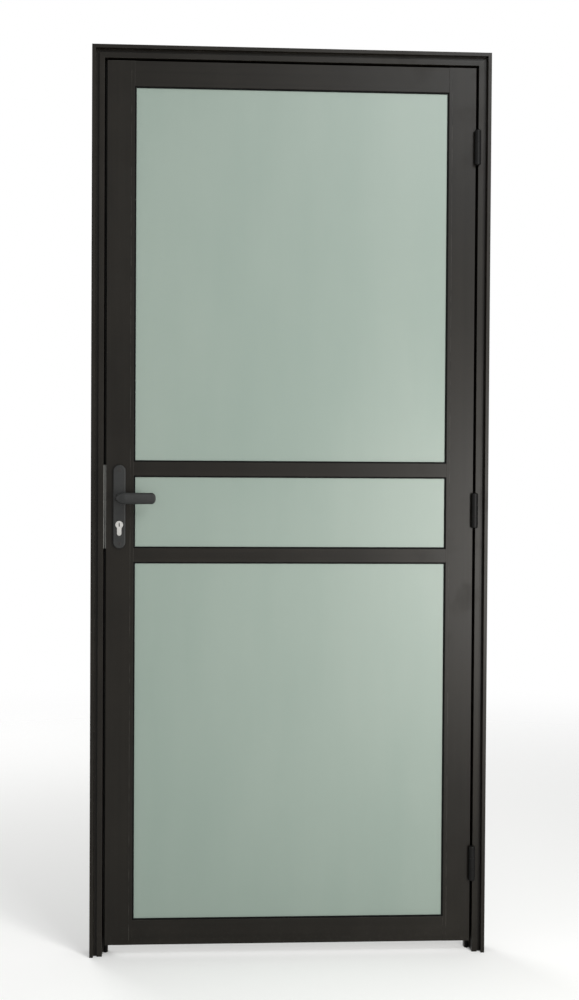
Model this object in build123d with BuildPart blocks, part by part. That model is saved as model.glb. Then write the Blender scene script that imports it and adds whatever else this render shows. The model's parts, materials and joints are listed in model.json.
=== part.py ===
from build123d import *
import os
from math import cos, radians, sin

os.makedirs("parts", exist_ok=True)

# Glazed aluminium door in its frame. Millimetres, z up, the side it opens towards faces -y.
# The origin is on the floor, midway between the jambs and midway through the leaf.

# Overall size of the frame
frame_width = 900.0
frame_height = 2050.0

# Frame section, measured inward from the outer face, then through the depth
lip_width = 8.0
groove_width = 8.0
band_width = 12.0
stop_overlap = 11.5
lip_proud = 8.0
groove_depth = 7.0
stop_depth = 18.0
frame_wall = 1.6
frame_edge_radius = 0.5

# Leaf and the gaps round it
leaf_thickness = 30.0
edge_gap = 6.0
floor_gap = 26.0
seal_gap = 4.0

# Leaf sections: widths run from the outer edge to the tip of the fixed flange
stile_width = 61.5
rail_width = 56.0
mid_rail_width = 31.0
rebate_depth = 10.0
flange_thickness = 1.8
leaf_wall = 1.6
leaf_edge_radius = 0.6
face_line_width = 0.6
face_line_depth = 0.4
face_line_inset = 7.5
upper_mid_rail_z = 1104.0
lower_mid_rail_z = 909.5

# Glass, its gaskets and its beads
glass_thickness = 6.0
gasket_thickness = 3.0
gasket_lip = 3.5
gasket_hidden = 6.0
gasket_bevel = 1.2
glass_clearance = 3.0
setting_block_length = 60.0
setting_block_inset = 90.0
bead_wall = 1.2
bead_bevel = 3.5
bead_slot_width = 2.8
bead_slot_depth = 1.9
bead_slot_back = 5.0
bead_boss_wall = 1.4
bead_fit = 0.2

# Seal in the frame's stop
seal_slot_width = 3.0
seal_slot_depth = 3.0
seal_slot_wall = 1.2
seal_inset = 4.8
seal_bulb_width = 5.2
seal_wall = 0.8
seal_fit = 0.1
seal_running_gap = 0.3

# Corner cleats
cleat_arm = 60.0
cleat_wall = 4.0
cleat_fit = 0.2

# Wall fixings through each jamb
fixing_hole_radius = 4.0
fixing_low_z = 300.0
fixing_top_inset = 350.0
fixing_y = 2.0

# Screws
screw_shank_radius = 1.9
screw_head_radius = 3.8
screw_length = 12.0
screw_fit = 0.1
recess_length = 4.2
recess_width = 0.9
recess_depth = 1.1

# Rail screws and the ports that they run in
port_wall = 2.2
port_fit = 0.1
port_inset = 9.0
port_standoff = 6.5
port_web = 2.0
rail_screw_radius = 2.1
rail_screw_length = 45.0
rail_screw_head_radius = 4.2
rail_screw_head_height = 2.6
access_hole_radius = 5.0

# Hinges
top_hinge_inset = 180.0
middle_hinge_z = 1013.0
bottom_hinge_inset = 180.0
hinge_height = 73.4
hinge_knuckles = 3
knuckle_gap = 0.4
barrel_radius = 7.5
barrel_clearance = 0.5
wing_thickness = 2.4
wing_end_inset = 3.0
hinge_pin_radius = 3.0
pin_fit = 0.05
pin_dome_radius = 7.2
pin_dome_height = 3.3
pin_plug_length = 4.8
wing_screw_spacing = 26.0
wing_screw_y = 0.0

# Lever handle set
backset = 30.0
spindle_z = 1038.0
plate_width = 28.0
plate_height = 188.0
plate_z = 1018.5
plate_thickness = 8.0
plate_skin = 2.0
plate_edge_radius = 2.2
plate_screw_spacing = 164.0
plate_boss_radius = 5.6
plate_bearing_radius = 11.2
sleeve_radius = 2.9
sleeve_bore_radius = 1.9
sleeve_hole_radius = 3.1
neck_radius = 8.5
neck_fit = 0.05
neck_start = 0.5
grip_length = 82.0
grip_reach = 45.0
grip_height = 26.0
grip_thickness = 12.4
grip_tip_height = 25.0
grip_tip_thickness = 11.0
grip_tip_radius = 11.0
grip_edge_radius = 2.0
grip_outline_margin = 0.2
elbow_radius = 16.0
elbow_steps = 4
spindle_size = 8.0
spindle_fit = 0.05
spindle_half_length = 44.0
spindle_hole_radius = 9.5

# Mortise lock
case_bottom_z = 947.0
case_top_z = 1087.0
case_depth = 47.5
case_thickness = 15.0
case_wall = 1.2
case_fit = 0.3
plate_strip_width = 22.0
plate_strip_height = 190.0
plate_strip_z = 1018.0
faceplate_thickness = 2.0
strike_thickness = 2.0
strip_corner_radius = 3.0
faceplate_screw_offset = 6.5
strike_screw_inset = 9.0

latch_z = 1049.0
latch_height = 26.0
latch_thickness = 12.0
latch_throw = 9.5
latch_recess = 0.3
latch_nose = 5.0
latch_body_length = 20.5
latch_bevel_length = 11.0
latch_tail_height = 8.5
latch_tail_thickness = 6.0
latch_hook_thickness = 3.3
latch_hook_drop = 2.3

bolt_z = 1007.0
bolt_height = 24.0
bolt_thickness = 10.0
bolt_throw = 20.0
bolt_recess = 0.3
bolt_guide_length = 2.0
bolt_tail_length = 45.0
bolt_tail_thickness = 6.0
bolt_ear_width = 5.0
bolt_ear_drop = 8.0
bolt_ear_offset = 3.0

follower_hub_radius = 8.0
follower_body_radius = 10.0
follower_body_thickness = 11.6
follower_arm_width = 5.0
follower_arm_radius = 13.5
hub_fit = 0.05
hook_clearance = 0.5

mouth_clearance = 0.4
strike_clearance = 3.0
strike_latch_front_clearance = 0.5

# Profile cylinder
cylinder_z = 978.0
cylinder_radius = 8.5
cylinder_drop = 24.5
cylinder_slot_width = 10.0
cylinder_half_length = 26.0
cylinder_fit = 0.3
plug_radius = 6.5
plug_fit = 0.05
plug_proud = 0.3
keyway_width = 2.2
keyway_height = 8.5
keyway_depth = 16.0
cam_thickness = 9.4
cam_gap = 0.3
cam_hub_radius = 8.3
cam_tooth_radius = 15.0
cam_tooth_width = 8.0
cam_clearance = 0.6
cylinder_screw_drop = 20.0
cylinder_screw_length = 38.0
cylinder_screw_radius = 2.4

# Places that follow from the sizes above
leaf_front = -leaf_thickness / 2
leaf_back = leaf_thickness / 2
rebate_u = lip_width + groove_width + band_width
stop_u = rebate_u + stop_overlap
lip_y = leaf_front - lip_proud
groove_y = leaf_front + groove_depth
stop_y = leaf_back + seal_gap
frame_back_y = stop_y + stop_depth
frame_half = frame_width / 2
rebate_x = frame_half - rebate_u
leaf_half = rebate_x - edge_gap
leaf_top = frame_height - rebate_u - edge_gap
leaf_height = leaf_top - floor_gap

stile_box = stile_width - rebate_depth
rail_box = rail_width - rebate_depth
mid_rail_box = mid_rail_width - 2 * rebate_depth
inner_half = leaf_half - stile_box
tip_half = leaf_half - stile_width
glass_half = inner_half - glass_clearance
flange_back = leaf_front + flange_thickness
glass_front = flange_back + gasket_thickness
glass_back = glass_front + glass_thickness
bead_front = glass_back + gasket_thickness
bead_slot_y = leaf_back - bead_slot_back
port_radius = rail_screw_radius + port_fit
port_y = leaf_front + leaf_wall + port_standoff

spindle_x = -leaf_half + backset
lock_edge_x = -leaf_half
faceplate_x = lock_edge_x - faceplate_thickness
plate_face_y = leaf_front - plate_thickness
plate_screw_zs = [plate_z - plate_screw_spacing / 2, plate_z + plate_screw_spacing / 2]
hinge_x = leaf_half + edge_gap / 2
hinge_y = leaf_front - barrel_radius - barrel_clearance

hinge_centres = {
    "top": leaf_top - top_hinge_inset,
    "middle": middle_hinge_z,
    "bottom": floor_gap + bottom_hinge_inset,
}

# Bottom and top of each pane's opening, measured between the boxes of the sections round it
lower_mid = (lower_mid_rail_z - mid_rail_box / 2, lower_mid_rail_z + mid_rail_box / 2)
upper_mid = (upper_mid_rail_z - mid_rail_box / 2, upper_mid_rail_z + mid_rail_box / 2)
panes = {
    "lower": (floor_gap + rail_box, lower_mid[0]),
    "middle": (lower_mid[1], upper_mid[0]),
    "upper": (upper_mid[1], leaf_top - rail_box),
}


def finish(piece, name):
    """Label a finished piece and write it to its own file."""
    piece.part.label = name
    export_step(piece.part, f"parts/{name}.step")


def strip(x0, x1, y0, y1, mode=Mode.ADD):
    """Rectangle between two corners of the sketch."""
    with Locations(((x0 + x1) / 2, (y0 + y1) / 2)):
        Rectangle(abs(x1 - x0), abs(y1 - y0), mode=mode)


def block(xs, ys, zs, mode=Mode.ADD):
    """Box between two corners of the part."""
    with Locations(tuple((low + high) / 2 for low, high in (xs, ys, zs))):
        Box(*(abs(high - low) for low, high in (xs, ys, zs)), mode=mode)


def facing(point, direction):
    """Plane at a point, whose outward side looks along a direction."""
    return Plane(origin=point, z_dir=direction)


# Planes across the three frame members: local x runs inward, local y from front to back
lock_jamb_plane = Plane(origin=(-frame_half, 0, 0), x_dir=(1, 0, 0), z_dir=(0, 0, 1))
hinge_jamb_plane = Plane(origin=(frame_half, 0, frame_height), x_dir=(-1, 0, 0), z_dir=(0, 0, -1))
head_plane = Plane(origin=(-frame_half, 0, frame_height), x_dir=(0, 0, -1), z_dir=(1, 0, 0))
lock_mitre = facing((-frame_half, 0, frame_height), (1, 0, 1))
hinge_mitre = facing((frame_half, 0, frame_height), (-1, 0, 1))


def frame_section(plane):
    """Hollow frame section with a raised lip, a face band, a rebate and a stop with a seal slot."""
    band_u = lip_width + groove_width
    seal_u = rebate_u + seal_inset + seal_slot_width / 2
    wall = frame_wall
    with BuildSketch(plane) as section:
        with BuildLine():
            Polyline(
                (0, lip_y),
                (lip_width, lip_y),
                (lip_width, groove_y),
                (band_u, groove_y),
                (band_u, leaf_front),
                (rebate_u, leaf_front),
                (rebate_u, stop_y),
                (stop_u, stop_y),
                (stop_u, frame_back_y),
                (0, frame_back_y),
                close=True,
            )
        make_face()
        fillet(section.vertices(), frame_edge_radius)
        # Main chamber, with the small ones behind the lip and the band
        strip(wall, lip_width - wall, lip_y + wall, groove_y + 2 * wall, Mode.SUBTRACT)
        strip(band_u + wall, rebate_u - wall, leaf_front + wall, groove_y + 2 * wall, Mode.SUBTRACT)
        strip(wall, rebate_u - wall, groove_y + wall, frame_back_y - wall, Mode.SUBTRACT)
        # Chamber of the stop, and the slot that holds the seal
        strip(rebate_u, stop_u - wall, stop_y + wall, frame_back_y - wall, Mode.SUBTRACT)
        slot_half = seal_slot_width / 2
        boss_half = slot_half + seal_slot_wall
        strip(seal_u - boss_half, seal_u + boss_half, stop_y, stop_y + seal_slot_depth + seal_slot_wall)
        strip(seal_u - slot_half, seal_u + slot_half, stop_y, stop_y + seal_slot_depth, Mode.SUBTRACT)
    return section.sketch


def seal_section(plane):
    """Hollow bulb on a stem that fills the seal slot."""
    seal_u = rebate_u + seal_inset + seal_slot_width / 2
    half = seal_bulb_width / 2
    crown_y = leaf_back + seal_running_gap
    with BuildSketch(plane) as section:
        with BuildLine():
            ThreePointArc((seal_u - half, stop_y), (seal_u, crown_y), (seal_u + half, stop_y))
            Line((seal_u + half, stop_y), (seal_u - half, stop_y))
        make_face()
        stem_half = seal_slot_width / 2 - seal_fit
        strip(seal_u - stem_half, seal_u + stem_half, stop_y, stop_y + seal_slot_depth - seal_fit)
        with BuildLine():
            inner = half - seal_wall
            inner_y = stop_y - seal_wall
            ThreePointArc(
                (seal_u - inner, inner_y), (seal_u, crown_y + seal_wall), (seal_u + inner, inner_y)
            )
            Line((seal_u + inner, inner_y), (seal_u - inner, inner_y))
        make_face(mode=Mode.SUBTRACT)
    return section.sketch


def countersunk_hole(plane, radius=screw_shank_radius, head=screw_head_radius, depth=screw_length):
    """Clearance hole for a countersunk screw, drilled inward from the plane."""
    with Locations(plane):
        CounterSinkHole(radius + screw_fit, head + screw_fit, depth)


def countersunk_screw(plane, radius=screw_shank_radius, head=screw_head_radius, length=screw_length):
    """Countersunk screw with a cross recess, its head flush with the plane."""
    top = (Align.CENTER, Align.CENTER, Align.MAX)
    with Locations(plane):
        Cylinder(radius, length, align=top)
        Cone(radius, head, head - radius, align=top)
        Box(recess_length, recess_width, recess_depth, align=top, mode=Mode.SUBTRACT)
        Box(recess_width, recess_length, recess_depth, align=top, mode=Mode.SUBTRACT)


def wing_screw_planes(side):
    """Planes of the hinge screw heads: side is 1 on the frame's wings and -1 on the leaf's."""
    face_x = rebate_x - wing_thickness if side > 0 else leaf_half + wing_thickness
    return [
        facing((face_x, wing_screw_y, centre + row * wing_screw_spacing), (-side, 0, 0))
        for centre in hinge_centres.values()
        for row in (-1, 0, 1)
    ]


# Screw heads on the edge of the lock stile and on the rebate of the lock jamb
strip_bottom_z = plate_strip_z - plate_strip_height / 2
strip_top_z = plate_strip_z + plate_strip_height / 2
faceplate_screws = [
    facing((faceplate_x, 0, case_bottom_z - faceplate_screw_offset), (-1, 0, 0)),
    facing((faceplate_x, 0, case_top_z + faceplate_screw_offset), (-1, 0, 0)),
]
strike_screws = [
    facing((-rebate_x + strike_thickness, 0, strip_bottom_z + strike_screw_inset), (1, 0, 0)),
    facing((-rebate_x + strike_thickness, 0, strip_top_z - strike_screw_inset), (1, 0, 0)),
]
cylinder_screw_plane = facing((faceplate_x, 0, cylinder_z - cylinder_screw_drop), (-1, 0, 0))
cylinder_screw_head_radius = cylinder_screw_radius + faceplate_thickness

latch_zs = (latch_z - latch_height / 2, latch_z + latch_height / 2)
bolt_zs = (bolt_z - bolt_height / 2, bolt_z + bolt_height / 2)


def widened(span, margin):
    """A span with a margin added at both ends."""
    return (span[0] - margin, span[1] + margin)


def strike_openings(xs):
    """Cut the latch's and the bolt's openings through the span xs of the lock jamb."""
    latch_front = -latch_thickness / 2 - strike_latch_front_clearance
    block(xs, (latch_front, latch_thickness / 2 + strike_clearance), widened(latch_zs, strike_clearance),
          Mode.SUBTRACT)
    block(xs, widened((-bolt_thickness / 2, bolt_thickness / 2), strike_clearance),
          widened(bolt_zs, strike_clearance), Mode.SUBTRACT)


def fixing_holes(side):
    """Holes for the wall screws, through both walls of one jamb."""
    for z in (fixing_low_z, frame_height - fixing_top_inset):
        with Locations(facing((side * rebate_x, fixing_y, z), (-side, 0, 0))):
            Hole(fixing_hole_radius, depth=rebate_u)


# Frame

with BuildPart() as lock_jamb:
    extrude(frame_section(lock_jamb_plane), amount=frame_height)
    split(bisect_by=lock_mitre, keep=Keep.BOTTOM)
    strike_openings((-rebate_x - frame_wall, -rebate_x))
    fixing_holes(-1)
    for plane in strike_screws:
        countersunk_hole(plane, head=screw_shank_radius)

with BuildPart() as hinge_jamb:
    extrude(frame_section(hinge_jamb_plane), amount=frame_height)
    split(bisect_by=hinge_mitre, keep=Keep.BOTTOM)
    fixing_holes(1)
    for plane in wing_screw_planes(1):
        with Locations(plane):
            Hole(screw_shank_radius + screw_fit, depth=screw_length)

with BuildPart() as head:
    extrude(frame_section(head_plane), amount=frame_width)
    split(bisect_by=lock_mitre, keep=Keep.TOP)
    split(bisect_by=hinge_mitre, keep=Keep.TOP)

with BuildPart() as lock_jamb_seal:
    extrude(seal_section(lock_jamb_plane), amount=frame_height)
    split(bisect_by=lock_mitre, keep=Keep.BOTTOM)

with BuildPart() as hinge_jamb_seal:
    extrude(seal_section(hinge_jamb_plane), amount=frame_height)
    split(bisect_by=hinge_mitre, keep=Keep.BOTTOM)

with BuildPart() as head_seal:
    extrude(seal_section(head_plane), amount=frame_width)
    split(bisect_by=lock_mitre, keep=Keep.TOP)
    split(bisect_by=hinge_mitre, keep=Keep.TOP)

# L-shaped cleats that fill the main chambers at the two mitred corners
with BuildPart() as corner_cleats:
    cleat_near = frame_wall + cleat_fit
    cleat_far = rebate_u - frame_wall - cleat_fit
    cleat_front_y = groove_y + frame_wall + cleat_fit
    cleat_back_y = frame_back_y - frame_wall - cleat_fit
    corner = (-frame_half, frame_height)
    with BuildSketch(Plane.XZ.offset(-cleat_back_y)):
        arm = (corner[0] + cleat_near + cleat_arm, corner[1] - cleat_near - cleat_arm)
        strip(corner[0] + cleat_near, arm[0], corner[1] - cleat_near, corner[1] - cleat_far)
        strip(corner[0] + cleat_near, corner[0] + cleat_far, corner[1] - cleat_near, arm[1])
        pocket = (cleat_near + cleat_wall, cleat_far - cleat_wall)
        strip(corner[0] + cleat_far, arm[0] - cleat_wall, corner[1] - pocket[0], corner[1] - pocket[1],
              Mode.SUBTRACT)
        strip(corner[0] + pocket[0], corner[0] + pocket[1], corner[1] - cleat_far, arm[1] + cleat_wall,
              Mode.SUBTRACT)
    extrude(amount=cleat_back_y - cleat_front_y)
    mirror(about=Plane.YZ)

with BuildPart() as strike_plate:
    strike_xs = (-rebate_x, -rebate_x + strike_thickness)
    block(strike_xs, (-plate_strip_width / 2, plate_strip_width / 2), (strip_bottom_z, strip_top_z))
    fillet(strike_plate.edges().filter_by(Axis.X), strip_corner_radius)
    strike_openings(strike_xs)
    for plane in strike_screws:
        countersunk_hole(plane)

with BuildPart() as strike_plate_screws:
    for plane in strike_screws:
        countersunk_screw(plane)


# Hinges: the frame's wing holds the outer knuckles and the leaf's wing the middle one

knuckle_height = (hinge_height - (hinge_knuckles - 1) * knuckle_gap) / hinge_knuckles


def hinge_wing(centre, wing_xs, rows):
    """Flat wing in the gap, with the knuckles of the given rows round the pin."""
    wing_front = hinge_y + barrel_radius + pin_fit + knuckle_gap
    with BuildPart() as wing:
        block(wing_xs, (wing_front, leaf_back - wing_end_inset),
              (centre - hinge_height / 2, centre + hinge_height / 2))
        for row in rows:
            low = centre - hinge_height / 2 + row * (knuckle_height + knuckle_gap)
            block(wing_xs, (hinge_y, wing_front), (low, low + knuckle_height))
            with Locations((hinge_x, hinge_y, low + knuckle_height / 2)):
                Cylinder(barrel_radius, knuckle_height)
        with Locations((hinge_x, hinge_y, centre)):
            Cylinder(hinge_pin_radius + pin_fit, hinge_height, mode=Mode.SUBTRACT)
    return wing.part


outer_rows = range(0, hinge_knuckles, 2)
inner_rows = range(1, hinge_knuckles, 2)
for place, centre in hinge_centres.items():
    with BuildPart() as frame_wing:
        add(hinge_wing(centre, (rebate_x - wing_thickness, rebate_x), outer_rows))
        for plane in wing_screw_planes(1):
            if abs(plane.origin.Z - centre) < hinge_height / 2:
                countersunk_hole(plane)
    finish(frame_wing, f"hinge_{place}_frame_wing")
    with BuildPart() as leaf_wing:
        add(hinge_wing(centre, (leaf_half, leaf_half + wing_thickness), inner_rows))
        for plane in wing_screw_planes(-1):
            if abs(plane.origin.Z - centre) < hinge_height / 2:
                countersunk_hole(plane)
    finish(leaf_wing, f"hinge_{place}_leaf_wing")

# Each pin has a domed head; a domed plug closes the bore below it
with BuildPart() as hinge_pins:
    for centre in hinge_centres.values():
        pin_length = hinge_height - pin_plug_length - knuckle_gap
        for base_z, outward, shank in (
            (centre + hinge_height / 2, 1, pin_length),
            (centre - hinge_height / 2, -1, pin_plug_length),
        ):
            with Locations((hinge_x, hinge_y, base_z - outward * shank / 2)):
                Cylinder(hinge_pin_radius, shank)
            with Locations((hinge_x, hinge_y, base_z + outward * pin_dome_height / 2)):
                Cylinder(pin_dome_radius, pin_dome_height)
    rims = [edge for edge in hinge_pins.edges().filter_by(GeomType.CIRCLE)
            if edge.radius == pin_dome_radius
            and any(abs(abs(edge.arc_center.Z - centre) - hinge_height / 2 - pin_dome_height) < pin_fit
                    for centre in hinge_centres.values())]
    fillet(rims, pin_dome_height - pin_fit)

with BuildPart() as hinge_frame_screws:
    for plane in wing_screw_planes(1):
        countersunk_screw(plane)

with BuildPart() as hinge_leaf_screws:
    for plane in wing_screw_planes(-1):
        countersunk_screw(plane)


# Leaf sections

def leaf_section(plane, box, glazed, ports=()):
    """Hollow box with a flange and a bead slot on each glazed side, and round screw ports inside."""
    start, end = box
    with BuildSketch(plane) as section:
        strip(start, end, leaf_front, leaf_back)
        for side in glazed:
            edge = end if side > 0 else start
            strip(edge, edge + side * rebate_depth, leaf_front, leaf_front + flange_thickness)
        corners = section.vertices().filter_by(lambda v: abs(v.Y) > leaf_thickness / 2 - leaf_edge_radius)
        tips = [v for v in corners if not any(abs(v.X - (end if s > 0 else start)) < 1e-6 for s in glazed)]
        fillet(tips, leaf_edge_radius)
        strip(start + leaf_wall, end - leaf_wall, leaf_front + leaf_wall, leaf_back - leaf_wall,
              Mode.SUBTRACT)
        slot_half = bead_slot_width / 2
        for side in glazed:
            edge = end if side > 0 else start
            boss = edge - side * (bead_slot_depth + bead_boss_wall)
            boss_half = slot_half + bead_boss_wall
            strip(boss, edge, bead_slot_y - boss_half, bead_slot_y + boss_half)
            strip(edge - side * bead_slot_depth, edge, bead_slot_y - slot_half, bead_slot_y + slot_half,
                  Mode.SUBTRACT)
        for x, y in ports:
            strip(x - port_web / 2, x + port_web / 2, leaf_front, y)
            with Locations((x, y)):
                Circle(port_radius + port_wall)
                Circle(port_radius, mode=Mode.SUBTRACT)
    return section.sketch


plain_stile = leaf_section(Plane.XY, (0, stile_box), (1,))


def stile_section(plane):
    """Stile section, with the fine line that runs down its face."""
    line_u = stile_width - face_line_inset
    with BuildSketch(plane) as section:
        add(plain_stile)
        strip(line_u - face_line_width / 2, line_u + face_line_width / 2,
              leaf_front, leaf_front + face_line_depth, Mode.SUBTRACT)
    return section.sketch


# Height and depth of every rail screw, the same as the ports of the rails
rail_ports = [(port_inset, port_y), (rail_box - port_inset, port_y)]
rail_screw_places = (
    [(floor_gap + u, y) for u, y in rail_ports]
    + [(leaf_top - u, y) for u, y in rail_ports]
    + [(lower_mid_rail_z, 0), (upper_mid_rail_z, 0)]
)


def rail_screw_holes(side):
    """Screw holes in the inner wall of a stile, and larger ones that the heads pass in its edge."""
    for z, y in rail_screw_places:
        with Locations(facing((side * leaf_half, y, z), (side, 0, 0))):
            Hole(access_hole_radius, depth=leaf_wall)
        with Locations(facing((side * leaf_half, y, z), (side, 0, 0))):
            Hole(rail_screw_radius + screw_fit, depth=stile_box)


lock_stile_plane = Plane(origin=(-leaf_half, 0, floor_gap), x_dir=(1, 0, 0), z_dir=(0, 0, 1))
hinge_stile_plane = Plane(origin=(leaf_half, 0, leaf_top), x_dir=(-1, 0, 0), z_dir=(0, 0, -1))


def profile_cylinder(plane, margin=0.0):
    """Outline of the profile cylinder: a round top over a narrow slot with a round end."""
    slot_half = cylinder_slot_width / 2
    with BuildSketch(plane) as outline:
        with Locations((spindle_x, cylinder_z)):
            Circle(cylinder_radius + margin)
        strip(spindle_x - slot_half - margin, spindle_x + slot_half + margin,
              cylinder_z, cylinder_z - cylinder_drop + slot_half)
        with Locations((spindle_x, cylinder_z - cylinder_drop + slot_half)):
            Circle(slot_half + margin)
    return outline.sketch


with BuildPart() as lock_stile:
    extrude(stile_section(lock_stile_plane), amount=leaf_height)
    rail_screw_holes(-1)
    # Pocket for the lock case, and the holes for its screws, the cylinder, the spindle and the sleeves
    block((lock_edge_x, lock_edge_x + leaf_wall),
          widened((-case_thickness / 2, case_thickness / 2), case_fit),
          widened((case_bottom_z, case_top_z), case_fit), Mode.SUBTRACT)
    for plane in faceplate_screws:
        countersunk_hole(plane, head=screw_shank_radius)
    extrude(profile_cylinder(Plane.XZ.offset(leaf_front), cylinder_fit), amount=leaf_thickness,
            mode=Mode.SUBTRACT)
    with Locations((spindle_x, 0, spindle_z)):
        Cylinder(spindle_hole_radius, leaf_thickness, rotation=(90, 0, 0), mode=Mode.SUBTRACT)
    for z in plate_screw_zs:
        with Locations((spindle_x, 0, z)):
            Cylinder(sleeve_hole_radius, leaf_thickness, rotation=(90, 0, 0), mode=Mode.SUBTRACT)

with BuildPart() as hinge_stile:
    extrude(stile_section(hinge_stile_plane), amount=leaf_height)
    rail_screw_holes(1)
    for plane in wing_screw_planes(-1):
        with Locations(plane):
            Hole(screw_shank_radius + screw_fit, depth=screw_length)


def rail(plane, box, glazed, ports):
    """Rail between the stiles, its face cut back at both ends to pass behind the stiles' flanges."""
    with BuildPart() as bar:
        extrude(leaf_section(plane, box, glazed, ports), amount=2 * inner_half)
        size = bar.part.bounding_box()
        for xs in ((-inner_half, -tip_half), (tip_half, inner_half)):
            block(xs, (leaf_front, flange_back), (size.min.Z, size.max.Z), Mode.SUBTRACT)
    return bar.part


bottom_rail_plane = Plane(origin=(inner_half, 0, floor_gap), x_dir=(0, 0, 1), z_dir=(-1, 0, 0))
top_rail_plane = Plane(origin=(-inner_half, 0, leaf_top), x_dir=(0, 0, -1), z_dir=(1, 0, 0))
lower_mid_plane = Plane(origin=(inner_half, 0, lower_mid_rail_z), x_dir=(0, 0, 1), z_dir=(-1, 0, 0))
upper_mid_plane = Plane(origin=(inner_half, 0, upper_mid_rail_z), x_dir=(0, 0, 1), z_dir=(-1, 0, 0))
mid_box = (-mid_rail_box / 2, mid_rail_box / 2)

with BuildPart() as bottom_rail:
    add(rail(bottom_rail_plane, (0, rail_box), (1,), rail_ports))

with BuildPart() as top_rail:
    add(rail(top_rail_plane, (0, rail_box), (1,), rail_ports))

with BuildPart() as lower_mid_rail:
    add(rail(lower_mid_plane, mid_box, (-1, 1), [(0, 0)]))

with BuildPart() as upper_mid_rail:
    add(rail(upper_mid_plane, mid_box, (-1, 1), [(0, 0)]))

# Self-tapping screws that run from inside the stiles into the ports of the rails
with BuildPart() as rail_screws:
    bottom_end = (Align.CENTER, Align.CENTER, Align.MIN)
    top_end = (Align.CENTER, Align.CENTER, Align.MAX)
    for side in (-1, 1):
        for z, y in rail_screw_places:
            seat = facing((side * (inner_half + leaf_wall), y, z), (side, 0, 0))
            with Locations(seat):
                Cylinder(rail_screw_radius, rail_screw_length, align=top_end)
                Cylinder(rail_screw_head_radius, rail_screw_head_height, align=bottom_end)


# Glazing

def glazing_bead(plane, length):
    """Snap-in bead: a hollow moulding with a tongue that fills the slot beside the rebate."""
    with BuildPart() as bead:
        with BuildSketch(plane) as section:
            with BuildLine():
                Polyline(
                    (0, bead_front),
                    (rebate_depth, bead_front),
                    (rebate_depth, leaf_back - bead_bevel),
                    (rebate_depth - bead_bevel, leaf_back),
                    (0, leaf_back),
                    close=True,
                )
            make_face()
            offset(amount=-bead_wall, kind=Kind.INTERSECTION, mode=Mode.SUBTRACT)
            tongue_half = bead_slot_width / 2 - bead_fit
            strip(-(bead_slot_depth - bead_fit), bead_wall, bead_slot_y - tongue_half,
                  bead_slot_y + tongue_half)
        extrude(section.sketch, amount=length)
    return bead.part


def gasket_ring(half_width, zs, front_y, bevel_side):
    """Flat ring between the glass and its seat, with a bevelled lip that shows round the pane."""
    outer = rebate_depth - gasket_hidden
    lip = rebate_depth + gasket_lip
    middle_z = (zs[0] + zs[1]) / 2
    height = zs[1] - zs[0]
    with BuildPart() as ring:
        with BuildSketch(Plane.XZ.offset(-front_y - gasket_thickness)):
            with Locations((0, middle_z)):
                Rectangle(2 * (half_width - outer), height - 2 * outer)
                Rectangle(2 * (half_width - lip), height - 2 * lip, mode=Mode.SUBTRACT)
        extrude(amount=gasket_thickness)
        face = ring.faces().filter_by(Axis.Y).sort_by(Axis.Y)[0 if bevel_side < 0 else -1]
        chamfer(face.inner_wires()[0].edges(), gasket_bevel)
    return ring.part


for pane, (low, high) in panes.items():
    with BuildPart() as glass:
        block((-glass_half, glass_half), (glass_front, glass_back),
              (low + glass_clearance, high - glass_clearance))
    finish(glass, f"{pane}_glass")

    with BuildPart() as gaskets:
        add(gasket_ring(inner_half, (low, high), flange_back, -1))
        add(gasket_ring(inner_half, (low, high), glass_back, 1))
    finish(gaskets, f"{pane}_gaskets")

    upright_low = low + rebate_depth
    upright_high = high - rebate_depth
    bead_planes = {
        "bottom": (Plane(origin=(inner_half, 0, low), x_dir=(0, 0, 1), z_dir=(-1, 0, 0)), 2 * inner_half),
        "top": (Plane(origin=(-inner_half, 0, high), x_dir=(0, 0, -1), z_dir=(1, 0, 0)), 2 * inner_half),
        "left": (Plane(origin=(-inner_half, 0, upright_low), x_dir=(1, 0, 0), z_dir=(0, 0, 1)),
                 upright_high - upright_low),
        "right": (Plane(origin=(inner_half, 0, upright_high), x_dir=(-1, 0, 0), z_dir=(0, 0, -1)),
                  upright_high - upright_low),
    }
    for side, (plane, length) in bead_planes.items():
        with BuildPart() as bead:
            add(glazing_bead(plane, length))
        finish(bead, f"{pane}_bead_{side}")

# Blocks that carry the lower edge of each pane
with BuildPart() as setting_blocks:
    for low, high in panes.values():
        for side in (-1, 1):
            centre_x = side * (glass_half - setting_block_inset)
            block((centre_x - setting_block_length / 2, centre_x + setting_block_length / 2),
                  (glass_front, glass_back), (low, low + glass_clearance))


# Mortise lock

case_xs = (lock_edge_x, lock_edge_x + case_depth)
case_ys = (-case_thickness / 2, case_thickness / 2)
case_zs = (case_bottom_z, case_top_z)


def lock_side_holes():
    """Holes in the sides of the case for the cylinder and for the follower's hub."""
    extrude(profile_cylinder(Plane.XZ.offset(-case_thickness), cylinder_fit), amount=2 * case_thickness,
            mode=Mode.SUBTRACT)
    with Locations((spindle_x, 0, spindle_z)):
        Cylinder(follower_hub_radius + hub_fit, 2 * case_thickness, rotation=(90, 0, 0), mode=Mode.SUBTRACT)


def mouth_openings(xs):
    """Mouths for the latch and the bolt, and the hole for the cylinder's screw."""
    block(xs, widened((-latch_thickness / 2, latch_thickness / 2), mouth_clearance / 2),
          widened(latch_zs, mouth_clearance), Mode.SUBTRACT)
    block(xs, widened((-bolt_thickness / 2, bolt_thickness / 2), mouth_clearance),
          widened(bolt_zs, mouth_clearance), Mode.SUBTRACT)


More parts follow.
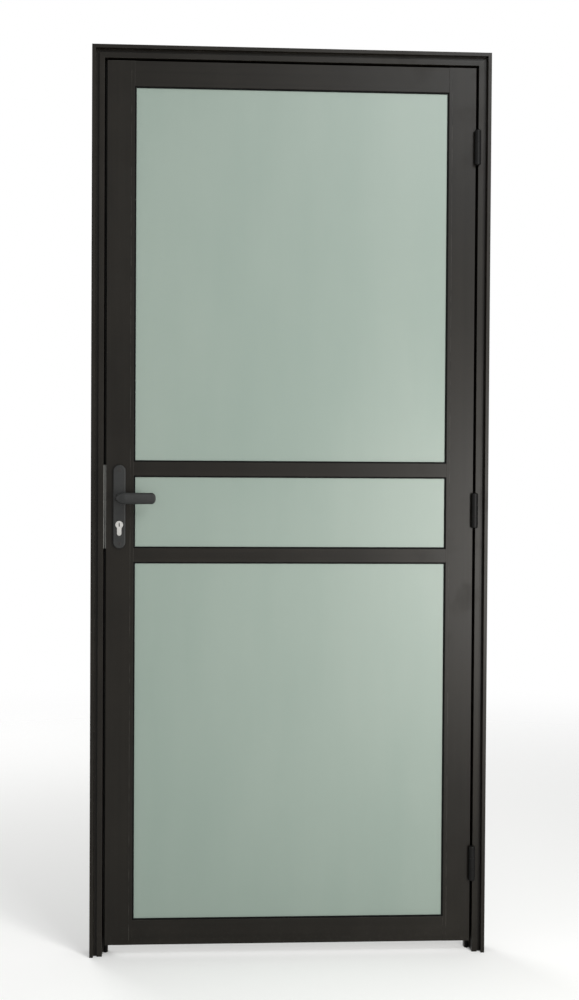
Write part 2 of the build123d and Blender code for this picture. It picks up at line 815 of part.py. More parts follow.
with BuildPart() as lock_case:
    block(case_xs, case_ys, case_zs)
    block(widened(case_xs, -case_wall), (case_ys[0], case_ys[1] - case_wall), widened(case_zs, -case_wall),
          Mode.SUBTRACT)
    lock_side_holes()
    mouth_openings((case_xs[0], case_xs[0] + case_wall))
    with Locations(cylinder_screw_plane):
        Hole(cylinder_screw_radius + screw_fit, depth=faceplate_thickness + case_wall)

with BuildPart() as lock_cover:
    block(widened(case_xs, -case_wall - case_fit / 2), (case_ys[0], case_ys[0] + case_wall),
          widened(case_zs, -case_wall - case_fit / 2))
    lock_side_holes()

with BuildPart() as lock_faceplate:
    faceplate_xs = (faceplate_x, lock_edge_x)
    block(faceplate_xs, (-plate_strip_width / 2, plate_strip_width / 2), (strip_bottom_z, strip_top_z))
    fillet(lock_faceplate.edges().filter_by(Axis.X), strip_corner_radius)
    mouth_openings(faceplate_xs)
    for plane in faceplate_screws:
        countersunk_hole(plane)
    countersunk_hole(cylinder_screw_plane, cylinder_screw_radius, cylinder_screw_head_radius,
                     cylinder_screw_length)

# Two short screws hold the faceplate and one long screw holds the cylinder
with BuildPart() as lock_screws:
    for plane in faceplate_screws:
        countersunk_screw(plane)
    countersunk_screw(cylinder_screw_plane, cylinder_screw_radius, cylinder_screw_head_radius,
                      cylinder_screw_length)

# The latch lies pressed in, its nose just inside the faceplate and bevelled on the side that
# meets the strike as the leaf closes
with BuildPart() as latch_bolt:
    nose_x = faceplate_x + latch_recess
    body_end_x = nose_x + latch_body_length
    half = latch_thickness / 2
    with BuildSketch(Plane.XY.offset(latch_zs[0])):
        with BuildLine():
            Polyline(
                (nose_x, -half),
                (body_end_x, -half),
                (body_end_x, half),
                (nose_x + latch_bevel_length, half),
                (nose_x, latch_nose - half),
                close=True,
            )
        make_face()
    extrude(amount=latch_height)
    # Tail over the follower, with a hook that comes up to the follower's arm when the latch is out
    hook_x = spindle_x + follower_arm_width / 2 + hook_clearance + latch_throw
    tail_ys = (-latch_tail_thickness / 2, latch_tail_thickness / 2)
    tail_low = spindle_z + follower_arm_radius + hook_clearance
    block((body_end_x, hook_x + latch_hook_thickness), tail_ys, (tail_low, tail_low + latch_tail_height))
    block((hook_x, hook_x + latch_hook_thickness), tail_ys, (tail_low - latch_hook_drop, tail_low))

# The bolt's tail carries the ear that the cam pushes
with BuildPart() as deadbolt:
    bolt_nose_x = faceplate_x + bolt_recess
    half = bolt_thickness / 2
    block((bolt_nose_x, bolt_nose_x + bolt_throw + bolt_guide_length), (-half, half), bolt_zs)
    tail_ys = (-bolt_tail_thickness / 2, bolt_tail_thickness / 2)
    block((bolt_nose_x, bolt_nose_x + bolt_tail_length), tail_ys, bolt_zs)
    ear_end_x = spindle_x - bolt_ear_offset
    block((ear_end_x - bolt_ear_width, ear_end_x), tail_ys, (bolt_zs[0] - bolt_ear_drop, bolt_zs[0]))

with BuildPart() as follower:
    with Locations((spindle_x, 0, spindle_z)):
        Cylinder(follower_hub_radius, case_thickness, rotation=(90, 0, 0))
        Cylinder(follower_body_radius, follower_body_thickness, rotation=(90, 0, 0))
    block((spindle_x - follower_arm_width / 2, spindle_x + follower_arm_width / 2),
          (-follower_body_thickness / 2, follower_body_thickness / 2),
          (spindle_z, spindle_z + follower_arm_radius))
    with Locations((spindle_x, 0, spindle_z)):
        Box(spindle_size + 2 * spindle_fit, case_thickness, spindle_size + 2 * spindle_fit,
            mode=Mode.SUBTRACT)


# Profile cylinder, turned by a key from either side

with BuildPart() as cylinder_body:
    extrude(profile_cylinder(Plane.XZ.offset(-cylinder_half_length)), amount=2 * cylinder_half_length)
    with Locations((spindle_x, 0, cylinder_z)):
        Cylinder(plug_radius + plug_fit, 2 * cylinder_half_length, rotation=(90, 0, 0), mode=Mode.SUBTRACT)
    cam_room = cam_thickness / 2 + cam_gap
    block((spindle_x - cylinder_radius, spindle_x + cylinder_radius), (-cam_room, cam_room),
          (cylinder_z - cam_tooth_radius - cam_clearance, cylinder_z + cylinder_radius), Mode.SUBTRACT)
    with Locations(cylinder_screw_plane):
        Hole(cylinder_screw_radius + screw_fit, depth=2 * backset)

with BuildPart() as cylinder_plugs:
    plug_end = cylinder_half_length + plug_proud
    plug_start = cam_thickness / 2 + cam_gap
    for side in (-1, 1):
        with Locations((spindle_x, side * (plug_end + plug_start) / 2, cylinder_z)):
            Cylinder(plug_radius, plug_end - plug_start, rotation=(90, 0, 0))
        block((spindle_x - keyway_width / 2, spindle_x + keyway_width / 2),
              (side * (plug_end - keyway_depth), side * plug_end),
              (cylinder_z - keyway_height / 2, cylinder_z + keyway_height / 2), Mode.SUBTRACT)

with BuildPart() as cylinder_cam:
    with Locations((spindle_x, 0, cylinder_z)):
        Cylinder(cam_hub_radius, cam_thickness, rotation=(90, 0, 0))
    block((spindle_x - cam_tooth_width / 2, spindle_x + cam_tooth_width / 2),
          (-cam_thickness / 2, cam_thickness / 2), (cylinder_z - cam_tooth_radius, cylinder_z))


# Handle set

with BuildPart() as spindle:
    with Locations((spindle_x, 0, spindle_z)):
        Box(spindle_size, 2 * spindle_half_length, spindle_size)

with BuildPart() as front_plate:
    outer_plane = Plane.XZ.offset(-leaf_front)
    with BuildSketch(outer_plane):
        with Locations((spindle_x, plate_z)):
            SlotOverall(plate_height, plate_width, rotation=90)
    extrude(amount=plate_thickness)
    fillet(front_plate.faces().sort_by(Axis.Y)[0].edges(), plate_edge_radius)
    # Hollow from behind, with bosses left round the sleeves, the lever and the cylinder
    with BuildSketch(outer_plane) as hollow:
        with Locations((spindle_x, plate_z)):
            SlotOverall(plate_height - 2 * plate_skin, plate_width - 2 * plate_skin, rotation=90)
        with Locations(*((spindle_x, z) for z in plate_screw_zs)):
            Circle(plate_boss_radius, mode=Mode.SUBTRACT)
        with Locations((spindle_x, spindle_z)):
            Circle(plate_bearing_radius, mode=Mode.SUBTRACT)
        add(profile_cylinder(Plane.XY, cylinder_fit + plate_skin), mode=Mode.SUBTRACT)
    extrude(hollow.sketch, amount=plate_thickness - plate_skin, mode=Mode.SUBTRACT)
    extrude(profile_cylinder(outer_plane, cylinder_fit), amount=plate_thickness, mode=Mode.SUBTRACT)
    with Locations((spindle_x, leaf_front - plate_thickness / 2, spindle_z)):
        Cylinder(neck_radius + neck_fit, plate_thickness, rotation=(90, 0, 0), mode=Mode.SUBTRACT)
    sleeve_head_radius = sleeve_radius + screw_head_radius - screw_shank_radius
    for z in plate_screw_zs:
        countersunk_hole(facing((spindle_x, plate_face_y, z), (0, -1, 0)), sleeve_radius,
                         sleeve_head_radius, plate_thickness)

with BuildPart() as back_plate:
    mirror(front_plate.part, about=Plane.XZ)

# A threaded sleeve in from the front and a screw in from the back at each end of the plates
with BuildPart() as plate_screws:
    sleeve_length = plate_thickness + leaf_thickness
    screw_reach = plate_thickness + leaf_thickness / 2
    bore_wall = screw_fit / 2
    for z in plate_screw_zs:
        front = facing((spindle_x, plate_face_y, z), (0, -1, 0))
        back = facing((spindle_x, -plate_face_y, z), (0, 1, 0))
        countersunk_screw(front, sleeve_radius, sleeve_head_radius, sleeve_length)
        with Locations((spindle_x, plate_face_y + sleeve_length, z)):
            Cylinder(sleeve_bore_radius + bore_wall, 2 * screw_reach, rotation=(90, 0, 0),
                     mode=Mode.SUBTRACT)
        countersunk_screw(back, sleeve_bore_radius, sleeve_head_radius, screw_reach)

# Lever: a round neck that bends and flattens into an oval grip with a rounded tip
grip_centre_y = plate_face_y - grip_reach + grip_thickness / 2
elbow_start_y = grip_centre_y + elbow_radius


def oval(x, y, along, across_radius, up_radius):
    """Oval section of the lever, square to the direction it runs along."""
    section_plane = Plane(origin=(x, y, spindle_z), x_dir=(-along[1], along[0], 0), z_dir=(*along, 0))
    with BuildSketch(section_plane) as section:
        Ellipse(across_radius, up_radius)
    return section.sketch


elbow_ovals = []
for step in range(elbow_steps + 1):
    turn = radians(90 * step / elbow_steps)
    blend = (1 - cos(2 * turn)) / 2
    elbow_ovals.append(oval(
        spindle_x + elbow_radius * (1 - cos(turn)),
        elbow_start_y - elbow_radius * sin(turn),
        (sin(turn), -cos(turn)),
        neck_radius + (grip_thickness / 2 - neck_radius) * blend,
        neck_radius + (grip_height / 2 - neck_radius) * blend,
    ))
tip_x = spindle_x + grip_length
tip_oval = oval(tip_x + grip_outline_margin, grip_centre_y, (1, 0), grip_tip_thickness / 2,
                grip_tip_height / 2)

with BuildPart() as front_lever:
    loft(elbow_ovals)
    loft([elbow_ovals[-1], tip_oval])
    with BuildSketch(Plane.XZ) as side_outline:
        with Locations((spindle_x + grip_length / 2 - neck_radius, spindle_z)):
            Rectangle(grip_length + 2 * neck_radius, grip_height + grip_outline_margin)
        fillet(side_outline.vertices().group_by(Axis.X)[-1], grip_tip_radius)
    extrude(amount=grip_reach + grip_outline_margin - plate_face_y, mode=Mode.INTERSECT)
    tip_edges = [edge for edge in front_lever.edges() if edge.center().X > tip_x - 2 * grip_tip_radius]
    fillet(tip_edges, grip_edge_radius)
    neck_length = leaf_front - neck_start - elbow_start_y
    with Locations((spindle_x, elbow_start_y + neck_length / 2, spindle_z)):
        Cylinder(neck_radius, neck_length, rotation=(90, 0, 0))
    with Locations((spindle_x, 0, spindle_z)):
        Box(spindle_size + 2 * spindle_fit, 2 * (spindle_half_length + spindle_fit),
            spindle_size + 2 * spindle_fit, mode=Mode.SUBTRACT)

with BuildPart() as back_lever:
    mirror(front_lever.part, about=Plane.XZ)


pieces = {
    "lock_jamb": lock_jamb,
    "hinge_jamb": hinge_jamb,
    "head": head,
    "corner_cleats": corner_cleats,
    "lock_jamb_seal": lock_jamb_seal,
    "hinge_jamb_seal": hinge_jamb_seal,
    "head_seal": head_seal,
    "strike_plate": strike_plate,
    "strike_screws": strike_plate_screws,
    "hinge_pins": hinge_pins,
    "hinge_frame_screws": hinge_frame_screws,
    "hinge_leaf_screws": hinge_leaf_screws,
    "lock_stile": lock_stile,
    "hinge_stile": hinge_stile,
    "bottom_rail": bottom_rail,
    "top_rail": top_rail,
    "lower_mid_rail": lower_mid_rail,
    "upper_mid_rail": upper_mid_rail,
    "rail_screws": rail_screws,
    "setting_blocks": setting_blocks,
    "lock_case": lock_case,
    "lock_cover": lock_cover,
    "lock_faceplate": lock_faceplate,
    "lock_screws": lock_screws,
    "latch_bolt": latch_bolt,
    "deadbolt": deadbolt,
    "follower": follower,
    "cylinder_body": cylinder_body,
    "cylinder_plugs": cylinder_plugs,
    "cylinder_cam": cylinder_cam,
    "spindle": spindle,
    "front_plate": front_plate,
    "back_plate": back_plate,
    "plate_screws": plate_screws,
    "front_lever": front_lever,
    "back_lever": back_lever,
}
for name, piece in pieces.items():
    finish(piece, name)
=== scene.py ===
import json
import math
import bpy
import numpy as np
from mathutils import Matrix, Vector

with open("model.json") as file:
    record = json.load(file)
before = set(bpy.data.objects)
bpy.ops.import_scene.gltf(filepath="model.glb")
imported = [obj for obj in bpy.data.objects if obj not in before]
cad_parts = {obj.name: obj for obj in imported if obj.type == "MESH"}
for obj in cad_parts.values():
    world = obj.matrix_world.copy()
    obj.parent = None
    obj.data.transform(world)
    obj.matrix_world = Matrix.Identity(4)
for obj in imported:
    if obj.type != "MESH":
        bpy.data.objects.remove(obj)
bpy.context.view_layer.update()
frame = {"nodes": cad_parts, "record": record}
nodes = frame["nodes"]
print("loaded", len(nodes), "pieces of the door")

scene = bpy.context.scene
scene.view_settings.view_transform = "Standard"


def socketOf(sockets, key):
    # a socket by its number, its identifier or its name
    if isinstance(key, int):
        return sockets[key]
    for socket in sockets:
        if socket.identifier == key:
            return socket
    return sockets[key]


class Wire:
    # one output socket, so that sums on it are written as plain Python
    def __init__(self, finish, socket):
        self.finish = finish
        self.socket = socket

    def sum(self, operation, *values):
        return self.finish.add("ShaderNodeMath", {"operation": operation}, dict(enumerate(values)))

    def __add__(self, other):
        return self.sum("ADD", self, other)

    def __radd__(self, other):
        return self.sum("ADD", other, self)

    def __sub__(self, other):
        return self.sum("SUBTRACT", self, other)

    def __rsub__(self, other):
        return self.sum("SUBTRACT", other, self)

    def __mul__(self, other):
        return self.sum("MULTIPLY", self, other)

    def __rmul__(self, other):
        return self.sum("MULTIPLY", other, self)

    def atMost(self, other):
        return self.sum("MINIMUM", self, other)

    def span(self, low, high):
        # 0 below low, 1 above high, a smooth ramp between
        return self.finish.add(
            "ShaderNodeMapRange",
            {"interpolation_type": "SMOOTHSTEP"},
            {"Value": self, "From Min": low, "From Max": high},
            "Result",
        )


class Finish:
    # a material or world being wired up
    def __init__(self, owner):
        self.owner = owner
        owner.use_nodes = True
        self.tree = owner.node_tree
        self.tree.nodes.clear()

    def add(self, kind, settings=None, values=None, out=0):
        # one node: its settings first, then the values or links of its sockets; gives back an output
        node = self.tree.nodes.new(kind)
        for key, value in (settings or {}).items():
            setattr(node, key, value)
        for key, value in (values or {}).items():
            socket = socketOf(node.inputs, key)
            if isinstance(value, Wire):
                self.tree.links.new(value.socket, socket)
            elif isinstance(value, tuple) and socket.type == "RGBA":
                socket.default_value = (*value[:3], 1.0)
            else:
                socket.default_value = value
        if not len(node.outputs):
            return None
        return Wire(self, socketOf(node.outputs, out))

    def point(self, out="Object"):
        return self.add("ShaderNodeTexCoord", out=out)

    def stretched(self, vector, scale):
        return self.add("ShaderNodeMapping", values={"Vector": vector, "Scale": scale}, out="Vector")

    def lengthwise(self, vector, axis, share):
        # a pattern drawn out along one axis, by taking only a share of the way along it
        scale = [1.0, 1.0, 1.0]
        scale["xyz".index(axis)] = share
        return self.stretched(vector, tuple(scale))

    def noise(self, vector, scale, detail=2.0, rough=0.5):
        return self.add(
            "ShaderNodeTexNoise",
            values={"Vector": vector, "Scale": scale, "Detail": detail, "Roughness": rough},
            out="Fac",
        )

    def part(self, vector, axis):
        return self.add("ShaderNodeSeparateXYZ", values={"Vector": vector}, out=axis)

    def blend(self, factor, a, b):
        # two colours mixed by a factor
        return self.add(
            "ShaderNodeMix",
            {"data_type": "RGBA"},
            {"Factor_Float": factor, "A_Color": a, "B_Color": b},
            "Result_Color",
        )

    def edges(self, radius):
        # how far the rounded normal leans from the face's own one: 0 on a flat face, more on an arris
        rounded = self.add("ShaderNodeBevel", {"samples": 4}, {"Radius": radius}, "Normal")
        flat = self.add("ShaderNodeNewGeometry", out="Normal")
        agree = self.add(
            "ShaderNodeVectorMath", {"operation": "DOT_PRODUCT"}, {0: rounded, 1: flat}, "Value"
        )
        return (1.0 - agree).span(0.01, 0.22)

    def bump(self, height, distance, strength):
        values = {"Height": height, "Distance": distance, "Strength": strength}
        return self.add("ShaderNodeBump", values=values, out="Normal")

    def close(self, shader):
        self.add("ShaderNodeOutputMaterial", values={"Surface": shader})
        return self.owner

    def surface(self, values):
        return self.close(self.add("ShaderNodeBsdfPrincipled", values=values))


def newFinish(name):
    return Finish(bpy.data.materials.new(name))


def tinted(colour, share):
    return tuple(c * share for c in colour)


# the dark bronze coat on the aluminium profiles
coatLook = {
    "deep": (0.0048, 0.0039, 0.0026),  # the coat's brown black
    "pale": (0.0108, 0.0090, 0.0066),  # where the coat is a little thinner
    "bare": (0.080, 0.074, 0.066),  # rubbed arrises, which also carry a painted highlight along them, and specks
    "dust": (0.100, 0.094, 0.084),
    "frameTint": 1.08,  # the frame's coat against the leaf's
    "specular": 0.16,
    "gloss": 0.36,  # roughness of the clean coat
    "cloudGloss": 0.08,
    "dieGloss": 0.10,
    "smearGloss": 0.07,
    "dieShare": 0.006,  # how far the die's lines are drawn out
    "speckShare": 0.25,
    # how far in from an arris and how strongly the coat is lightened there: partly worn coat, partly a
    # painted highlight along the arrises
    "wornAndHighlitEdge": 0.0012,
    "wornAndHighlitShare": 0.80,
    "dustShare": 0.45,
    "splashTop": 0.10,  # how high rain splashes reach
    "splashShare": 0.12,
    "skinDepth": 0.00006,
}


def coatedProfile(name, along, tint, seed):
    f = newFinish(name)
    spot = f.point()
    drawnOut = f.lengthwise(spot, along, coatLook["dieShare"])
    dieLines = f.noise(drawnOut, 620.0, 3.0, 0.6)  # fine lines that the extrusion die leaves
    bands = f.noise(drawnOut, 60.0)
    clouds = f.noise(spot, 4.2 + seed, 4.0, 0.55)
    powder = f.noise(spot, 950.0)  # the coat's fine skin
    specks = f.noise(spot, 2600.0, 1.0).span(0.70, 0.78)
    tone = (clouds * 0.55 + bands * 0.3 + dieLines * 0.25).span(0.32, 0.80)
    colour = f.blend(tone, tinted(coatLook["deep"], tint), tinted(coatLook["pale"], tint))
    colour = f.blend(specks * coatLook["speckShare"], colour, coatLook["bare"])
    # patches along the arrises lightened towards the bare colour: partly wear, partly painted highlight
    wornAndHighlit = f.edges(coatLook["wornAndHighlitEdge"]) * f.noise(spot, 38.0, 4.0, 0.65).span(0.36, 0.62)
    colour = f.blend(wornAndHighlit * coatLook["wornAndHighlitShare"], colour, coatLook["bare"])
    up = f.part(f.point("Normal"), "Z").span(0.75, 0.98)
    settled = up * f.noise(spot, 26.0, 5.0, 0.7).span(0.38, 0.72)
    colour = f.blend(settled * coatLook["dustShare"], colour, coatLook["dust"])
    low = 1.0 - f.part(spot, "Z").span(0.0, coatLook["splashTop"])
    splashes = low * f.noise(spot, 160.0, 5.0, 0.75).span(0.50, 0.74)
    colour = f.blend(splashes * coatLook["splashShare"], colour, coatLook["dust"])
    touched = f.noise(spot, 9.0, 5.0, 0.62).span(0.50, 0.70)  # smears left by hands and cloths
    rough = coatLook["gloss"] + (clouds - 0.5) * coatLook["cloudGloss"]
    rough = rough + (dieLines - 0.5) * coatLook["dieGloss"] + touched * coatLook["smearGloss"]
    rough = rough + settled * 0.3 + splashes * 0.2
    return f.surface(
        {
            "Base Color": colour,
            "Roughness": rough,
            "Specular IOR Level": coatLook["specular"],
            "Normal": f.bump(dieLines * 0.55 + powder * 0.45, coatLook["skinDepth"], 0.5),
        }
    )


# satin-etched glass, pale sea green
glassLook = {
    "cool": (0.250, 0.318, 0.275),
    "warm": (0.284, 0.347, 0.302),
    "gloss": 0.40,
    "wipeGloss": 0.08,  # long streaks left by wiping
    "etchGloss": 0.06,
    "through": 0.30,  # how much light passes
    "etchDepth": 0.00004,
}


def satinGlass(name):
    f = newFinish(name)
    spot = f.point()
    drift = f.noise(f.stretched(spot, (1.0, 1.0, 0.45)), 2.6, 3.0)
    etch = f.noise(spot, 1500.0)
    wipe = f.noise(f.stretched(spot, (1.0, 1.0, 0.12)), 22.0, 4.0, 0.6)
    tone = (drift * 0.8 + wipe * 0.2).span(0.30, 0.70)
    rough = glassLook["gloss"] + (wipe - 0.5) * glassLook["wipeGloss"]
    return f.surface(
        {
            "Base Color": f.blend(tone, glassLook["cool"], glassLook["warm"]),
            "Roughness": rough + (etch - 0.5) * glassLook["etchGloss"],
            "IOR": 1.5,
            "Transmission Weight": glassLook["through"],
            "Normal": f.bump(etch, glassLook["etchDepth"], 0.4),
        }
    )


# rubber of the gaskets and seals
rubberLook = {
    "deep": (0.0016, 0.0016, 0.0017),
    "pale": (0.0040, 0.0039, 0.0037),
    "gloss": 0.78,
    "grainGloss": 0.15,
    "specular": 0.10,
    "grainDepth": 0.00005,
}


def softRubber(name):
    f = newFinish(name)
    spot = f.point()
    bloom = f.noise(spot, 90.0, 4.0, 0.6)
    grain = f.noise(spot, 1800.0)
    return f.surface(
        {
            "Base Color": f.blend(bloom.span(0.35, 0.75), rubberLook["deep"], rubberLook["pale"]),
            "Roughness": rubberLook["gloss"] + (grain - 0.5) * rubberLook["grainGloss"],
            "Specular IOR Level": rubberLook["specular"],
            "Normal": f.bump(grain * 0.6 + bloom * 0.4, rubberLook["grainDepth"], 0.6),
        }
    )


# paint of the levers and their plates
handlePaint = {
    "deep": (0.0070, 0.0075, 0.0072),
    "pale": (0.0142, 0.0150, 0.0145),
    "bare": (0.12, 0.12, 0.12),
    "gloss": 0.42,
    "wear": 0.5,  # how much of a rubbed arris shows bare metal
    "specular": 0.34,
}

# paint of the hinges, darker and duller
hingePaint = {
    "deep": (0.0022, 0.0021, 0.0020),
    "pale": (0.0050, 0.0048, 0.0046),
    "bare": (0.06, 0.06, 0.06),
    "gloss": 0.42,
    "wear": 0.3,
    "specular": 0.12,
}


def paintedMetal(name, look):
    f = newFinish(name)
    spot = f.point()
    clouds = f.noise(spot, 30.0, 4.0, 0.6)
    sand = f.noise(spot, 1700.0, 2.0, 0.6)  # the fine sandy skin of a structured paint
    colour = f.blend((clouds * 0.7 + sand * 0.3).span(0.35, 0.68), look["deep"], look["pale"])
    rubbed = f.edges(0.0009) * f.noise(spot, 120.0, 4.0, 0.6).span(0.40, 0.62)
    return f.surface(
        {
            "Base Color": f.blend(rubbed * look["wear"], colour, look["bare"]),
            "Roughness": look["gloss"] + (clouds - 0.5) * 0.12 - rubbed * 0.1,
            "Specular IOR Level": look["specular"],
            "Normal": f.bump(sand, 0.00009, 0.55),
        }
    )


# zinc-plated faceplate, strike, case, latch, bolt, spindle and follower, brushed upright; its colour is
# darkened well below plated steel, painted shade for the gap between leaf and frame where it shows
lockSteelShadedLook = {
    # both tones darkened as painted shade of the gap, not the plating's own colour
    "deep": (0.12, 0.12, 0.113),
    "pale": (0.20, 0.199, 0.188),
    "gloss": 0.47,
    "brushed": "z",
    "stained": 0.15,  # how dark the blotches get
}

# dark plated screws
screwSteelLook = {
    "deep": (0.024, 0.0235, 0.0235),
    "pale": (0.052, 0.050, 0.049),
    "gloss": 0.42,
    "brushed": None,
    "stained": 0.15,
}

# the cylinder's satin nickel
nickelLook = {
    "deep": (0.32, 0.315, 0.30),
    "pale": (0.46, 0.455, 0.44),
    "gloss": 0.46,
    "brushed": None,
    "stained": 0.14,
}

# uncoated aluminium inside the frame
millLook = {
    "deep": (0.50, 0.51, 0.52),
    "pale": (0.68, 0.69, 0.70),
    "gloss": 0.36,
    "brushed": "x",
    "stained": 0.15,
}


def bareMetal(name, look):
    f = newFinish(name)
    spot = f.point()
    if look["brushed"]:
        lines = f.noise(f.lengthwise(spot, look["brushed"], 0.02), 1300.0, 3.0, 0.6)
    else:
        lines = f.noise(spot, 700.0, 3.0, 0.6)
    blotches = f.noise(spot, 45.0, 5.0, 0.65)
    colour = f.blend((lines * 0.5 + blotches * 0.5).span(0.3, 0.7), look["deep"], look["pale"])
    stains = blotches.span(0.58, 0.72) * look["stained"]
    return f.surface(
        {
            "Base Color": f.blend(stains, colour, tinted(look["deep"], 0.35)),
            "Metallic": 1.0,
            "Roughness": look["gloss"] + (lines - 0.5) * 0.16 + (blotches - 0.5) * 0.10,
            "Normal": f.bump(lines, 0.00004, 0.5),
        }
    )


# moulded plastic of the glass's setting blocks
blockLook = {"deep": (0.016, 0.030, 0.060), "pale": (0.028, 0.048, 0.090), "gloss": 0.5}


def mouldedPlastic(name):
    f = newFinish(name)
    spot = f.point()
    clouds = f.noise(spot, 60.0, 3.0)
    grain = f.noise(spot, 1200.0)
    return f.surface(
        {
            "Base Color": f.blend(clouds.span(0.3, 0.7), blockLook["deep"], blockLook["pale"]),
            "Roughness": blockLook["gloss"] + (grain - 0.5) * 0.2,
            "Normal": f.bump(grain, 0.00005, 0.5),
        }
    )


frameTint = coatLook["frameTint"]
slotFinish = {
    "frame_coating": coatedProfile("frame_coat_along_jambs", "z", frameTint, 1.3),
    "leaf_coating": coatedProfile("coat_along_uprights", "z", 1.0, 0.0),
    "handle_coating": paintedMetal("handle_paint", handlePaint),
    "hinge_coating": paintedMetal("hinge_paint", hingePaint),
    "raw_aluminium": bareMetal("mill_aluminium", millLook),
    "lock_steel": bareMetal("lock_steel", lockSteelShadedLook),
    "screw_steel": bareMetal("screw_steel", screwSteelLook),
    "nickel": bareMetal("satin_nickel", nickelLook),
    "frosted_glass": satinGlass("satin_glass"),
    "rubber": softRubber("black_rubber"),
    "block_plastic": mouldedPlastic("block_plastic"),
}

# the same coats with the die's lines running across the door, for the pieces that lie flat
acrossFinish = {
    "frame_coating": coatedProfile("frame_coat_along_head", "x", frameTint, 1.9),
    "leaf_coating": coatedProfile("coat_along_rails", "x", 1.0, 0.7),
}
for entry in frame["record"]["subparts"]:
    name, slot = entry["node"], entry["material_slot"]
    liesFlat = "rail" in name or name.startswith("head") or name.endswith(("bead_bottom", "bead_top"))
    finish = acrossFinish[slot] if liesFlat and slot in acrossFinish else slotFinish[slot]
    nodes[name].data.materials.clear()
    nodes[name].data.materials.append(finish)
print("finishes on", len([o for o in nodes.values() if o.data.materials]), "pieces")

# the pale studio floor, which fades into the white round it
floorLook = {
    "radius": 9.0,
    "rings": 24,
    "sides": 96,
    "fadeFrom": 1.4,
    "fadeTo": 4.5,
    "colour": (0.80, 0.80, 0.79),
    "lift": 0.16,
}


def seenRays(f):
    # 1 on what the eye sees straight, in a gloss or through the glass
    straight, glossy, through = [
        f.add("ShaderNodeLightPath", out=rays)
        for rays in ("Is Camera Ray", "Is Glossy Ray", "Is Transmission Ray")
    ]
    return (straight + glossy + through).atMost(1.0)


def floorDisc(name, radius, rings, sides):
    # a flat disc: a point at angle a on ring r of n lies (r / n) to the power 1.5 of the radius away,
    # so the rings stand closer in the middle, which one more point closes with a fan
    radii = np.linspace(0.0, 1.0, rings + 1)[1:] ** 1.5 * radius
    angles = np.arange(sides) * 2.0 * np.pi / sides
    level = np.zeros(rings * sides)
    points = np.stack(
        [np.outer(radii, np.cos(angles)).ravel(), np.outer(radii, np.sin(angles)).ravel(), level], 1
    )
    points = np.vstack([points, np.zeros((1, 3))])
    i, j = np.meshgrid(np.arange(rings - 1), np.arange(sides), indexing="ij")
    k = (j + 1) % sides
    corners = [i * sides + j, (i + 1) * sides + j, (i + 1) * sides + k, i * sides + k]
    quads = np.stack(corners, -1).reshape(-1, 4)
    first = np.arange(sides)
    fan = np.stack([np.full(sides, rings * sides), first, (first + 1) % sides], -1)
    mesh = bpy.data.meshes.new(name)
    mesh.from_pydata(points.tolist(), [], quads.tolist() + fan.tolist())
    disc = bpy.data.objects.new(name, mesh)
    scene.collection.objects.link(disc)
    return disc


def floorFinish(name):
    f = newFinish(name)
    away = f.add("ShaderNodeVectorMath", {"operation": "LENGTH"}, {0: f.point()}, "Value")
    clear = away.span(floorLook["fadeFrom"], floorLook["fadeTo"])
    pale = f.add("ShaderNodeBsdfDiffuse", values={"Color": floorLook["colour"]})
    glow = {"Color": (1.0, 1.0, 1.0), "Strength": floorLook["lift"]}
    lifted = f.add("ShaderNodeAddShader", values={0: pale, 1: f.add("ShaderNodeEmission", values=glow)})
    seen = f.add("ShaderNodeMixShader", values={0: seenRays(f), 1: pale, 2: lifted})
    gone = f.add("ShaderNodeBsdfTransparent")
    return f.close(f.add("ShaderNodeMixShader", values={0: clear, 1: seen, 2: gone}))


floor = floorDisc("floor", floorLook["radius"], floorLook["rings"], floorLook["sides"])
floor.data.materials.append(floorFinish("pale_floor"))
print("floor")

# white sky: it lights the door with less than what is seen of it
lightLook = {"sky": 0.56, "seen": 1.0}

lamps = {
    "key_lamp": {
        "place": (1.4, -3.0, 3.1),
        "aim": (0.05, 0.0, 1.6),
        "size": (1.6, 1.4),
        "watts": 70.0,
        "colour": (0.97, 0.99, 1.0),
    },
    "side_lamp": {
        "place": (1.05, -2.2, 0.80),
        "aim": (0.30, 0.0, 0.85),
        "size": (0.45, 0.95),
        "watts": 34.0,
        "colour": (1.0, 0.98, 0.94),
    },
    "back_lamp": {
        "place": (-1.8, 3.4, 2.6),
        "aim": (0.0, 0.0, 1.1),
        "size": (1.8, 2.2),
        "watts": 58.0,
        "colour": (1.0, 1.0, 1.0),
    },
}


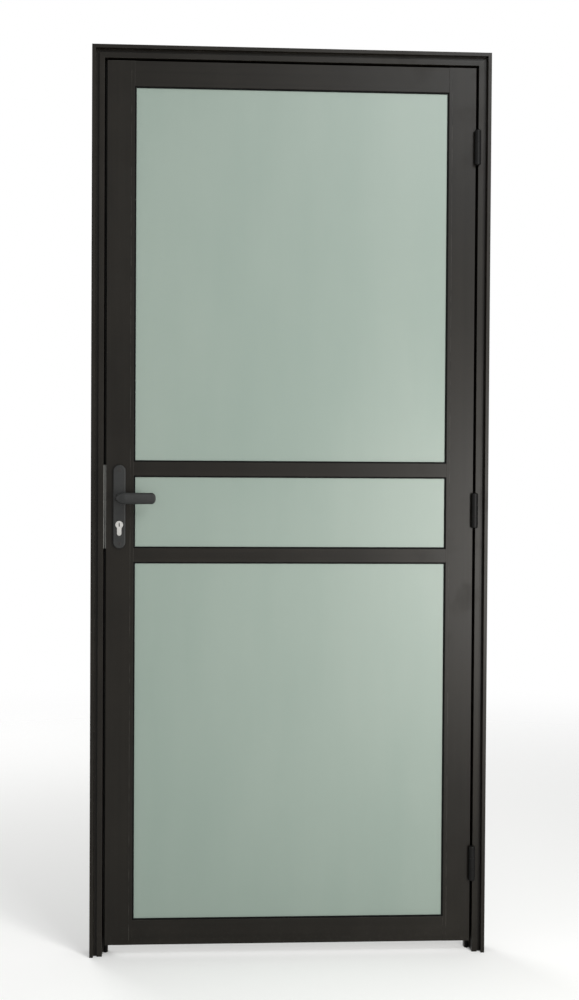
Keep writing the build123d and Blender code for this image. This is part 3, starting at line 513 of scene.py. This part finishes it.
def whiteSky(name):
    f = Finish(bpy.data.worlds.new(name))
    dim, full = [
        f.add("ShaderNodeBackground", values={"Color": (1.0, 1.0, 1.0), "Strength": lightLook[part]})
        for part in ("sky", "seen")
    ]
    sky = f.add("ShaderNodeMixShader", values={0: seenRays(f), 1: dim, 2: full})
    f.add("ShaderNodeOutputWorld", values={"Surface": sky})
    return f.owner


def areaLamp(name, look):
    lamp = bpy.data.lights.new(name, "AREA")
    lamp.shape = "RECTANGLE"
    lamp.size, lamp.size_y = look["size"]
    lamp.energy = look["watts"]
    lamp.color = look["colour"]
    holder = bpy.data.objects.new(name, lamp)
    scene.collection.objects.link(holder)
    holder.location = look["place"]
    towards = Vector(look["aim"]) - Vector(look["place"])
    holder.rotation_euler = towards.to_track_quat("-Z", "Y").to_euler()


scene.world = whiteSky("studio")
for name, look in lamps.items():
    areaLamp(name, look)
print("sky and", len(lamps), "lamps")

# the camera, as the photograph was taken: angles in radians
view = {
    "place": (-0.23533, -3.6, 1.11487),
    "yaw": -0.064723,
    "pitch": -0.022196,
    "roll": 0.006043,
    "focal": 1587.16,  # in pixels of a picture 1000 pixels high
    "high": 1000.0,
    "sensor": 36.0,
}


def placeCamera(name):
    yaw, pitch, roll = view["yaw"], view["pitch"], view["roll"]
    ahead = np.array(
        [-math.sin(yaw) * math.cos(pitch), math.cos(yaw) * math.cos(pitch), math.sin(pitch)]
    )
    level = np.array([math.cos(yaw), math.sin(yaw), 0.0])
    above = np.cross(level, ahead)
    right = math.cos(roll) * level + math.sin(roll) * above
    top = -math.sin(roll) * level + math.cos(roll) * above
    camera = bpy.data.cameras.new(name)
    camera.sensor_fit = "VERTICAL"
    camera.sensor_height = view["sensor"]
    camera.lens = view["focal"] * view["sensor"] / view["high"]
    camera.clip_end = 200.0
    tripod = bpy.data.objects.new(name, camera)
    scene.collection.objects.link(tripod)
    turned = np.stack([right, top, -ahead], 1).tolist()
    rows = [[*row, place] for row, place in zip(turned, view["place"])]
    tripod.matrix_world = Matrix(rows + [[0, 0, 0, 1]])
    return tripod


scene.camera = placeCamera("camera")
print("camera")
